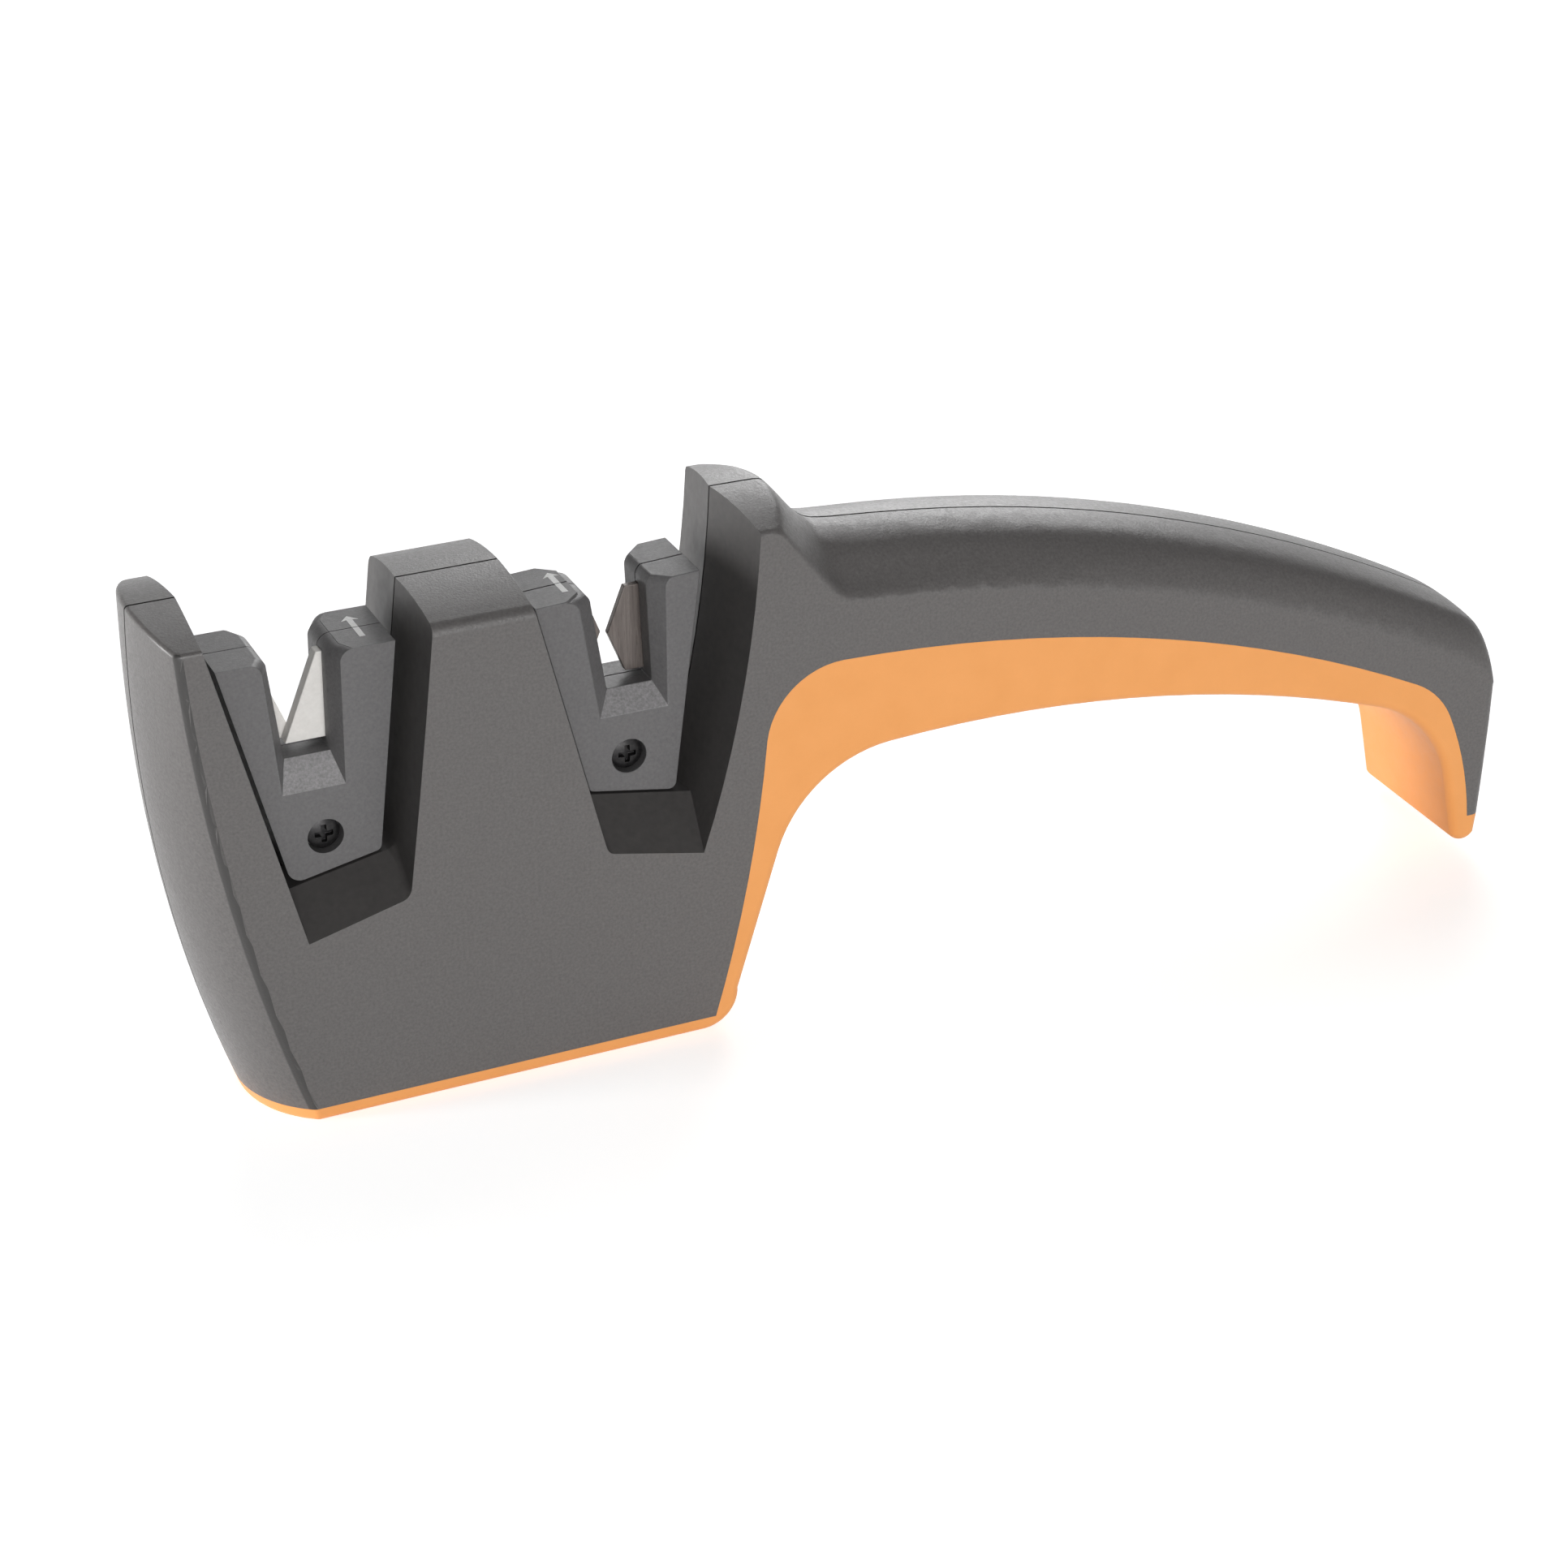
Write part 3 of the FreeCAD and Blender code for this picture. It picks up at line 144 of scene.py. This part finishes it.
class Finish:
    """A principled material whose patterns read the piece's own coordinates."""

    def __init__(self, name):
        self.material = bpy.data.materials.new(name)
        self.material.use_nodes = True
        self.tree = self.material.node_tree
        self.shader = self.tree.nodes["Principled BSDF"]
        self.coordinates = self.add("TexCoord").outputs["Object"]

    def add(self, kind):
        return self.tree.nodes.new("ShaderNode" + kind)

    def link(self, source, target):
        self.tree.links.new(source, target)

    def set(self, **values):
        """Plain values on the shader's own sockets, named with underscores for spaces."""
        for socket, value in values.items():
            self.shader.inputs[socket.replace("_", " ")].default_value = value
        return self

    def noise(self, grain, detail=3.0, roughness=0.6, stretch=(1, 1, 1)):
        """Noise whose features are about grain metres wide, drawn out along the axes by stretch."""
        mapping = self.add("Mapping")
        mapping.inputs["Scale"].default_value = stretch
        self.link(self.coordinates, mapping.inputs["Vector"])
        node = self.add("TexNoise")
        node.inputs["Scale"].default_value = 1 / grain
        node.inputs["Detail"].default_value = detail
        node.inputs["Roughness"].default_value = roughness
        self.link(mapping.outputs["Vector"], node.inputs["Vector"])
        return node.outputs["Fac"]

    def drift(self, socket, grain, low, high, spread=0.2, **noise):
        """One of the shader's sockets drifts between the colours low and high."""
        ramp = self.add("ValToRGB")
        stops = ((0.5 - spread, low), (0.5 + spread, high))
        for element, (place, colour) in zip(ramp.color_ramp.elements, stops):
            element.position = place
            element.color = (*colour, 1)
        self.link(self.noise(grain, **noise), ramp.inputs["Fac"])
        self.link(ramp.outputs["Color"], self.shader.inputs[socket])
        return self

    def mottle(self, grain, low, high, **pattern):
        """Base colour that drifts between low and high."""
        return self.drift("Base Color", grain, low, high, **pattern)

    def gloss(self, grain, low, high, **pattern):
        """Roughness that drifts between low and high."""
        return self.drift("Roughness", grain, (low,) * 3, (high,) * 3, **pattern)

    def relief(self, *layers):
        """Bumps, each given as grain, depth and the noise's own values."""
        normal = None
        for grain, depth, values in layers:
            bump = self.add("Bump")
            bump.inputs["Distance"].default_value = depth
            bump.inputs["Strength"].default_value = 1.0
            self.link(self.noise(grain, **values), bump.inputs["Height"])
            if normal:
                self.link(normal, bump.inputs["Normal"])
            normal = bump.outputs["Normal"]
        self.link(normal, self.shader.inputs["Normal"])
        return self

    def parts(self, vector):
        """The X, Y and Z of a vector."""
        node = self.add("SeparateXYZ")
        self.link(vector, node.inputs["Vector"])
        return node.outputs

    def math(self, operation, *values):
        """The outcome of an operation on sockets and plain numbers."""
        node = self.add("Math")
        node.operation = operation
        for value, socket in zip(values, node.inputs):
            if isinstance(value, float):
                socket.default_value = value
            else:
                self.link(value, socket)
        return node.outputs["Value"]

    def fade(self, source, start, end):
        """0 at start and 1 at end, with a smooth run between them."""
        node = self.add("MapRange")
        node.interpolation_type = "SMOOTHSTEP"
        node.inputs["From Min"].default_value = start
        node.inputs["From Max"].default_value = end
        self.link(source, node.inputs["Value"])
        return node.outputs["Result"]

    def paint_front_corner_shade(self, colour, side):
        """Painted shade in the given colour along the corners where the front turns into the sides, which lie
        at Y of +-side.
        """
        forwards = self.parts(self.add("NewGeometry").outputs["True Normal"])["X"]
        outwards = self.math("ABSOLUTE", self.parts(self.coordinates)["Y"])
        near_side = self.fade(outwards, *(side - width for width in SHADE_STRIP_WIDTH))
        painted_shade_strip = self.math("MULTIPLY", near_side, self.fade(forwards, *SHADE_STRIP_FRONT))
        mix = self.add("Mix")
        mix.data_type = "RGBA"
        sockets = {socket.identifier: socket for socket in (*mix.inputs, *mix.outputs)}
        base = self.shader.inputs["Base Color"]
        self.link(painted_shade_strip, sockets["Factor_Float"])
        self.link(base.links[0].from_socket, sockets["A_Color"])
        sockets["B_Color"].default_value = (*colour, 1)
        self.link(sockets["Result_Color"], base)
        return self


def textured_charcoal():
    """Housing plastic with an eroded mould texture, and painted shade along the front corners."""
    finish = Finish("textured_charcoal")
    finish.mottle(0.45 * MM, (0.090, 0.085, 0.083), (0.138, 0.131, 0.128), spread=0.25, detail=4.0)
    # Painted shade: a darker colour along the front corners
    finish.paint_front_corner_shade((0.042, 0.040, 0.039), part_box("far_shell")[1][1])
    finish.gloss(0.6 * MM, 0.32, 0.46)
    finish.relief((0.35 * MM, 0.05 * MM, {"detail": 3.0}), (4.0 * MM, 0.04 * MM, {"detail": 1.0}))
    return finish.set(Specular_IOR_Level=0.5).material


def smooth_charcoal_painted_shade():
    """Housing plastic in the pockets: a smoother finish, and a darker colour that is painted shade."""
    finish = Finish("smooth_charcoal_painted_shade")
    # Painted shade: much darker than the housing's plain plastic
    finish.mottle(1.2 * MM, (0.050, 0.047, 0.046), (0.064, 0.060, 0.058), spread=0.25, detail=3.0)
    finish.gloss(2.0 * MM, 0.46, 0.54)
    finish.relief((6.0 * MM, 0.03 * MM, {"detail": 1.0}))
    return finish.set(Specular_IOR_Level=0.45).material


def satin_charcoal():
    """Cassette plastic, a little cooler and finer than the housing."""
    finish = Finish("satin_charcoal")
    finish.mottle(0.5 * MM, (0.108, 0.106, 0.107), (0.150, 0.146, 0.148), spread=0.25, detail=4.0)
    finish.gloss(0.8 * MM, 0.40, 0.54)
    finish.relief((0.3 * MM, 0.03 * MM, {"detail": 3.0}), (5.0 * MM, 0.03 * MM, {"detail": 1.0}))
    return finish.set(Specular_IOR_Level=0.45).material


def grained_charcoal():
    """Cassette plastic on the sills, paler from spark erosion."""
    finish = Finish("grained_charcoal")
    finish.mottle(0.4 * MM, (0.160, 0.156, 0.158), (0.290, 0.282, 0.286), spread=0.2, detail=4.0)
    finish.gloss(0.5 * MM, 0.5, 0.65)
    finish.relief((0.3 * MM, 0.06 * MM, {"detail": 3.0}))
    return finish.set(Specular_IOR_Level=0.45).material


def seam_shade():
    """Plastic in the parting groove, darkened with painted shade."""
    finish = Finish("seam_shade")
    # Painted shade: near black in the groove
    finish.mottle(0.8 * MM, (0.016, 0.015, 0.015), (0.034, 0.032, 0.031), spread=0.25, detail=3.0)
    finish.gloss(0.8 * MM, 0.6, 0.8)
    finish.relief((0.3 * MM, 0.02 * MM, {"detail": 2.0}))
    return finish.set(Specular_IOR_Level=0.2).material


def soft_orange():
    """Rubbery grip with a fine moulded grain."""
    finish = Finish("soft_orange")
    finish.mottle(6.0 * MM, (0.88, 0.372, 0.106), (0.92, 0.398, 0.120), spread=0.22, detail=5.0)
    finish.gloss(1.5 * MM, 0.46, 0.60)
    finish.relief((0.5 * MM, 0.03 * MM, {"detail": 3.0}), (8.0 * MM, 0.05 * MM, {"detail": 1.0}))
    return finish.set(Specular_IOR_Level=0.4, Sheen_Weight=0.15, Sheen_Roughness=0.5).material


def ground_ceramic():
    """White stone with fine grit."""
    finish = Finish("ground_ceramic")
    finish.mottle(0.8 * MM, (0.72, 0.70, 0.67), (0.79, 0.77, 0.74), spread=0.2, detail=5.0)
    finish.gloss(0.5 * MM, 0.5, 0.7)
    finish.relief((0.12 * MM, 0.02 * MM, {"detail": 2.0}))
    return finish.set(Specular_IOR_Level=0.4).material


def ground_carbide():
    """Brown-grey sintered metal with grinding lines along the blade."""
    finish = Finish("ground_carbide")
    lines = {"stretch": (1.0, 1.0, 0.05), "detail": 4.0}
    finish.mottle(0.25 * MM, (0.095, 0.080, 0.073), (0.185, 0.160, 0.147), spread=0.25, **lines)
    finish.gloss(0.3 * MM, 0.24, 0.42, **lines)
    finish.relief((0.12 * MM, 0.01 * MM, lines))
    return finish.set(Metallic=0.3, Specular_IOR_Level=0.4).material


def black_oxide():
    """Blackened screw steel."""
    finish = Finish("black_oxide")
    finish.mottle(0.6 * MM, (0.012, 0.012, 0.013), (0.040, 0.038, 0.038), spread=0.3, detail=4.0)
    finish.gloss(0.4 * MM, 0.28, 0.48)
    finish.relief((0.2 * MM, 0.01 * MM, {"detail": 3.0}))
    return finish.set(Metallic=0.7, Specular_IOR_Level=0.5).material


def white_print():
    """Thin printed ink that lets a little of the grain through."""
    finish = Finish("white_print")
    finish.mottle(0.35 * MM, (0.84, 0.84, 0.83), (0.95, 0.95, 0.94), spread=0.15, detail=3.0)
    finish.gloss(0.5 * MM, 0.4, 0.6)
    finish.relief((0.3 * MM, 0.02 * MM, {"detail": 2.0}))
    return finish.material


# Pieces

def body_of(node):
    bodies = frame["record"]["behaviour"]["bodies"]
    return next(body for body, nodes in bodies.items() if node in nodes)


def add_object(name, bm, materials):
    """An object at the origin with the bmesh's shape."""
    mesh = bpy.data.meshes.new(name)
    bm.to_mesh(mesh)
    bm.free()
    for material in materials:
        mesh.materials.append(material)
    thing = bpy.data.objects.new(name, mesh)
    bpy.context.collection.objects.link(thing)
    return thing


def add_piece(name, bm, materials, node):
    """A piece that rides on the CAD node's body."""
    piece = add_object(name, bm, materials)
    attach(piece, body_of(node))
    return piece


def open_tray(outline, height):
    """A bmesh with a floor and upright sides, and its rim. The outline runs anticlockwise from above."""
    bm = bmesh.new()
    floor = [bm.verts.new(corner) for corner in outline]
    rim = [bm.verts.new(corner + Vector((0, 0, height))) for corner in outline]
    bm.faces.new(floor[::-1])
    for place in range(len(outline)):
        bm.faces.new((floor[place - 1], floor[place], rim[place], rim[place - 1]))
    return bm, rim


def in_pocket(face):
    """A wall or the floor of a cassette pocket, which takes a smoother finish and painted shade."""
    spot = face.calc_center_median()
    for (left, right), (low, high) in (FRONT_POCKET, REAR_POCKET):
        if left < spot.x < right and low < spot.z < high:
            inwards = face.normal.x if spot.x < (left + right) / 2 else -face.normal.x
            floor = face.normal.z > FLOOR_TURN and spot.z < FLOOR_TOP
            return inwards > WALL_TURN or floor
    return False


def on_sill(face):
    """The leaning sill below a knife slot's mouth."""
    low, high = SILL_LEAN
    leans = low < face.normal.z < high and abs(face.normal.y) > low
    return leans and face.calc_center_median().z < SILL_TOP


def at_parting(line, reach):
    """An edge that runs within reach of the parting plane."""
    return all(abs(vertex.co.y) < reach for vertex in line.verts)


def cut_seam(bm):
    """Break the edges at the parting plane into one side of the groove."""
    seam = [line for line in bm.edges
            if at_parting(line, SEAM_REACH) and line.calc_face_angle(0) > SHARP_ANGLE]
    if seam:
        bmesh.ops.bevel(bm, geom=seam, offset=SEAM_EDGE, offset_type="OFFSET", segments=1, profile=0.5,
                        affect="EDGES", material=GROOVE, clamp_overlap=True)


def dress_node(node, materials, edge, choose=None):
    """Stand a smooth piece with broken edges in for a CAD node. Faces for which choose holds take the second
    material, and the groove at the parting plane takes the third."""
    bm = bmesh.new()
    bm.from_mesh(frame["nodes"][node].data)
    bmesh.ops.remove_doubles(bm, verts=bm.verts, dist=MERGE_REACH)
    bmesh.ops.dissolve_limit(bm, angle_limit=FLAT_ANGLE, verts=bm.verts, edges=bm.edges)
    for face in bm.faces:
        face.smooth = True
        face.material_index = CHOSEN if choose and choose(face) else PLAIN
    cut_seam(bm)
    weight = bm.edges.layers.float.new("bevel_weight_edge")
    for line in bm.edges:
        line.smooth = line.calc_face_angle(0) < SHARP_ANGLE
        if not line.smooth and not at_parting(line, SEAM_REACH + SEAM_EDGE):
            line[weight] = 1.0
    piece = add_piece(node + "_piece", bm, materials, node)
    bevel = piece.modifiers.new("broken_edges", "BEVEL")
    bevel.width = edge
    bevel.segments = EDGE_SEGMENTS
    bevel.limit_method = "WEIGHT"
    shading = piece.modifiers.new("flat_faces", "WEIGHTED_NORMAL")
    shading.keep_sharp = True
    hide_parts(node)


def add_arrow(cassette, place_x, material):
    """A printed arrow across the top of a post. It parts with the two halves of the cassette."""
    outlines = {
        "near": [(-ARROW_HALF_SHAFT, ARROW_TAIL), (ARROW_HALF_SHAFT, ARROW_TAIL),
                 (ARROW_HALF_SHAFT, -ARROW_SEAM), (-ARROW_HALF_SHAFT, -ARROW_SEAM)],
        "far": [(-ARROW_HALF_SHAFT, ARROW_SEAM), (ARROW_HALF_SHAFT, ARROW_SEAM),
                (ARROW_HALF_SHAFT, ARROW_NECK), (ARROW_HALF_HEAD, ARROW_BARB), (0, ARROW_TIP),
                (-ARROW_HALF_HEAD, ARROW_BARB), (-ARROW_HALF_SHAFT, ARROW_NECK)],
    }
    for side, outline in outlines.items():
        node = "%s_%s_half" % (cassette, side)
        half = frame["nodes"][node].data
        tree = BVHTree.FromPolygons([v.co for v in half.vertices], [p.vertices for p in half.polygons])
        corners = []
        for across, along in outline:
            above = Vector((place_x + across, along, cad_box[1][2]))
            top = tree.ray_cast(above, Vector((0, 0, -1)))[0]
            corners.append(top + Vector((0, 0, ARROW_CLEARANCE)))
        bm, rim = open_tray(corners, ARROW_THICKNESS)
        bm.faces.new(rim)
        add_piece("%s_%s_arrow" % (cassette, side), bm, [material], node)


def dress_sharpener():
    groove = seam_shade()
    housing = [textured_charcoal(), smooth_charcoal_painted_shade(), groove]
    cassette = [satin_charcoal(), grained_charcoal(), groove]
    ceramic = [ground_ceramic()]
    carbide = [ground_carbide()]
    black = [black_oxide()]
    print_white = white_print()
    dress_node("soft_grip", [soft_orange()], GRIP_EDGE)
    for side in ("near", "far"):
        dress_node(side + "_shell", housing, HOUSING_EDGE, in_pocket)
        dress_node("ceramic_%s_half" % side, cassette, CASSETTE_EDGE, on_sill)
        dress_node("carbide_%s_half" % side, cassette, CASSETTE_EDGE, on_sill)
        dress_node("ceramic_%s_stone" % side, ceramic, STONE_EDGE)
        dress_node("carbide_%s_blade" % side, carbide, STONE_EDGE)
    for node in frame["nodes"]:
        if "screw" in node:
            dress_node(node, black, SCREW_EDGE)
    add_arrow("ceramic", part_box("ceramic_near_half")[1][0] - CERAMIC_ARROW_INSET, print_white)
    add_arrow("carbide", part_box("carbide_near_half")[0][0] + CARBIDE_ARROW_INSET, print_white)


# Stage

def pale_paper():
    """White paper that glows to the camera and in reflections, and still takes the shadow."""
    finish = Finish("pale_paper")
    finish.mottle(PAPER_GRAIN, (0.90, 0.90, 0.90), (0.93, 0.93, 0.93))
    finish.set(Roughness=0.9, Specular_IOR_Level=0.0, Emission_Color=(1, 1, 1, 1))
    rays = finish.add("LightPath").outputs
    seen = finish.math("MAXIMUM", rays["Is Camera Ray"], rays["Is Glossy Ray"])
    seen = finish.math("MAXIMUM", seen, rays["Is Transmission Ray"])
    finish.link(finish.math("MULTIPLY", seen, PAPER_GLOW), finish.shader.inputs["Emission Strength"])
    return finish.material


def add_paper():
    """A sheet of paper that lies under the sharpener and turns up on every side, nearest behind it."""
    outline = [Vector((x, y, 0)) for x, y in (
        (-PAPER_HALF, -PAPER_HALF), (PAPER_HALF, -PAPER_HALF),
        (PAPER_HALF, PAPER_BEHIND), (-PAPER_HALF, PAPER_BEHIND))]
    bm, _ = open_tray(outline, PAPER_RISE)
    paper = add_object("paper", bm, [pale_paper()])


def add_lamps():
    middle = (Vector(cad_box[0]) + Vector(cad_box[1])) / 2
    for name, (place, width, power) in LAMPS.items():
        light = bpy.data.lights.new(name, "AREA")
        light.shape = "DISK"
        light.size = width
        light.energy = power
        lamp = bpy.data.objects.new(name, light)
        lamp.location = place
        lamp.rotation_euler = (middle - Vector(place)).to_track_quat("-Z", "Y").to_euler()
        bpy.context.collection.objects.link(lamp)


def light_world():
    world = bpy.data.worlds.new("studio")
    bpy.context.scene.world = world
    world.use_nodes = True
    background = world.node_tree.nodes["Background"]
    background.inputs["Color"].default_value = (1, 1, 1, 1)
    background.inputs["Strength"].default_value = WORLD_LEVEL


def add_camera():
    data = bpy.data.cameras.new("photo_camera")
    data.lens = CAMERA_LENS
    data.sensor_width = CAMERA_SENSOR
    camera = bpy.data.objects.new("photo_camera", data)
    look = Vector((
        math.sin(CAMERA_AZIMUTH) * math.cos(CAMERA_FALL),
        math.cos(CAMERA_AZIMUTH) * math.cos(CAMERA_FALL),
        -math.sin(CAMERA_FALL)))
    camera.location = CAMERA_PLACE
    camera.rotation_euler = look.to_track_quat("-Z", "Y").to_euler()
    bpy.context.collection.objects.link(camera)
    bpy.context.scene.camera = camera


dress_sharpener()
add_paper()
add_lamps()
light_world()
add_camera()
bpy.context.scene.view_settings.view_transform = "Standard"
